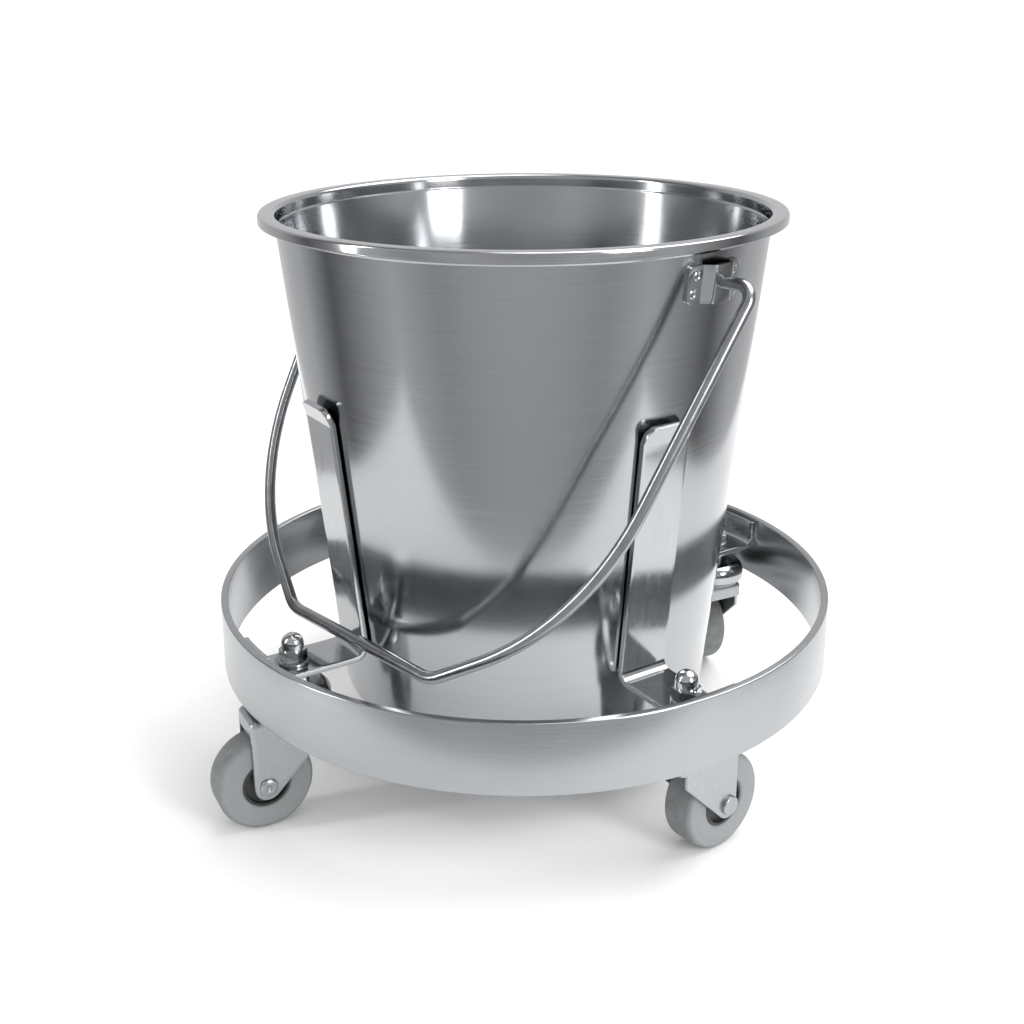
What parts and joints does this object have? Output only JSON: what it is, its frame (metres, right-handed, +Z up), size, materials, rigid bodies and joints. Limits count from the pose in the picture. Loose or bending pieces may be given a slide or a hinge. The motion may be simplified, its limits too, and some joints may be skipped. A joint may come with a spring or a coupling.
{
  "type": "wash bucket",
  "caption": "Tapered stainless pail with a wire bail, standing wedged in a flat-bar ring frame that rolls on small swivel castors.",
  "frame": {"origin": "on the floor, on the shared axis of the ring and the pail", "axes": "+Z up along the pail axis; the front of the picture faces -Y"},
  "size_m": [0.344, 0.344, 0.316],
  "materials": {
    "pail_steel": "polished",
    "polished_steel": "polished",
    "satin_steel": "satin",
    "plain_steel": "satin",
    "fork_steel": "zinc plated, satin",
    "hub_plastic": "matt",
    "grey_rubber": "matt"
  },
  "bodies": {
    "frame": {"ring_band": "satin_steel", "cap_nuts": "polished_steel", "flat_washers": "plain_steel", "bracket_front_right": "polished_steel", "bracket_rear_right": "polished_steel", "bracket_rear_left": "polished_steel", "bracket_front_left": "polished_steel", "castor_stem_front_right": "plain_steel", "castor_stem_rear_right": "plain_steel", "castor_stem_rear_left": "plain_steel", "castor_stem_front_left": "plain_steel", "swivel_cup_front_right": "polished_steel", "swivel_cup_rear_right": "polished_steel", "swivel_cup_rear_left": "polished_steel", "swivel_cup_front_left": "polished_steel", "swivel_balls_front_right": "plain_steel", "swivel_balls_rear_right": "plain_steel", "swivel_balls_rear_left": "plain_steel", "swivel_balls_front_left": "plain_steel"},
    "bucket": {"pail_shell": "pail_steel", "ear_right": "pail_steel", "ear_left": "pail_steel"},
    "bail": {"bail_handle": "plain_steel"},
    "swivel_front_right": {"castor_fork_front_right": "fork_steel", "axle_rivet_front_right": "plain_steel", "axle_sleeve_front_right": "plain_steel"},
    "wheel_front_right": {"wheel_hub_front_right": "hub_plastic", "wheel_tyre_front_right": "grey_rubber"},
    "swivel_rear_right": {"castor_fork_rear_right": "fork_steel", "axle_rivet_rear_right": "plain_steel", "axle_sleeve_rear_right": "plain_steel"},
    "wheel_rear_right": {"wheel_hub_rear_right": "hub_plastic", "wheel_tyre_rear_right": "grey_rubber"},
    "swivel_rear_left": {"castor_fork_rear_left": "fork_steel", "axle_rivet_rear_left": "plain_steel", "axle_sleeve_rear_left": "plain_steel"},
    "wheel_rear_left": {"wheel_hub_rear_left": "hub_plastic", "wheel_tyre_rear_left": "grey_rubber"},
    "swivel_front_left": {"castor_fork_front_left": "fork_steel", "axle_rivet_front_left": "plain_steel", "axle_sleeve_front_left": "plain_steel"},
    "wheel_front_left": {"wheel_hub_front_left": "hub_plastic", "wheel_tyre_front_left": "grey_rubber"}
  },
  "joints": [
    {"name": "bucket_lift", "type": "slide", "parent": "frame", "child": "bucket", "axis": [-0.0762, -0.0736, 0.9944], "range_m": [0, 0.25]},
    {"name": "bail_swing", "type": "hinge", "parent": "bucket", "child": "bail", "pos_m": [0, 0, 0.294], "axis": [-0.6947, 0.7193, 0], "range_deg": [0, 296]},
    {"name": "castor_turn_front_right", "type": "hinge", "parent": "frame", "child": "swivel_front_right", "pos_m": [0.08031, -0.12133, 0.062], "axis": [0, 0, 1], "continuous": true},
    {"name": "wheel_spin_front_right", "type": "hinge", "parent": "swivel_front_right", "child": "wheel_front_right", "pos_m": [0.09639, -0.10783, 0.026], "axis": [-0.6428, 0.766, 0], "continuous": true},
    {"name": "castor_turn_rear_right", "type": "hinge", "parent": "frame", "child": "swivel_rear_right", "pos_m": [0.12133, 0.08031, 0.062], "axis": [0, 0, 1], "continuous": true},
    {"name": "wheel_spin_rear_right", "type": "hinge", "parent": "swivel_rear_right", "child": "wheel_rear_right", "pos_m": [0.1118, 0.09902, 0.026], "axis": [-0.891, -0.454, 0], "continuous": true},
    {"name": "castor_turn_rear_left", "type": "hinge", "parent": "frame", "child": "swivel_rear_left", "pos_m": [-0.08031, 0.12133, 0.062], "axis": [0, 0, 1], "continuous": true},
    {"name": "wheel_spin_rear_left", "type": "hinge", "parent": "swivel_rear_left", "child": "wheel_rear_left", "pos_m": [-0.07487, 0.14161, 0.026], "axis": [-0.9659, 0.2588, 0], "continuous": true},
    {"name": "castor_turn_front_left", "type": "hinge", "parent": "frame", "child": "swivel_front_left", "pos_m": [-0.12133, -0.08031, 0.062], "axis": [0, 0, 1], "continuous": true},
    {"name": "wheel_spin_front_left", "type": "hinge", "parent": "swivel_front_left", "child": "wheel_front_left", "pos_m": [-0.13987, -0.09017, 0.026], "axis": [0.4695, -0.8829, 0], "continuous": true}
  ]
}
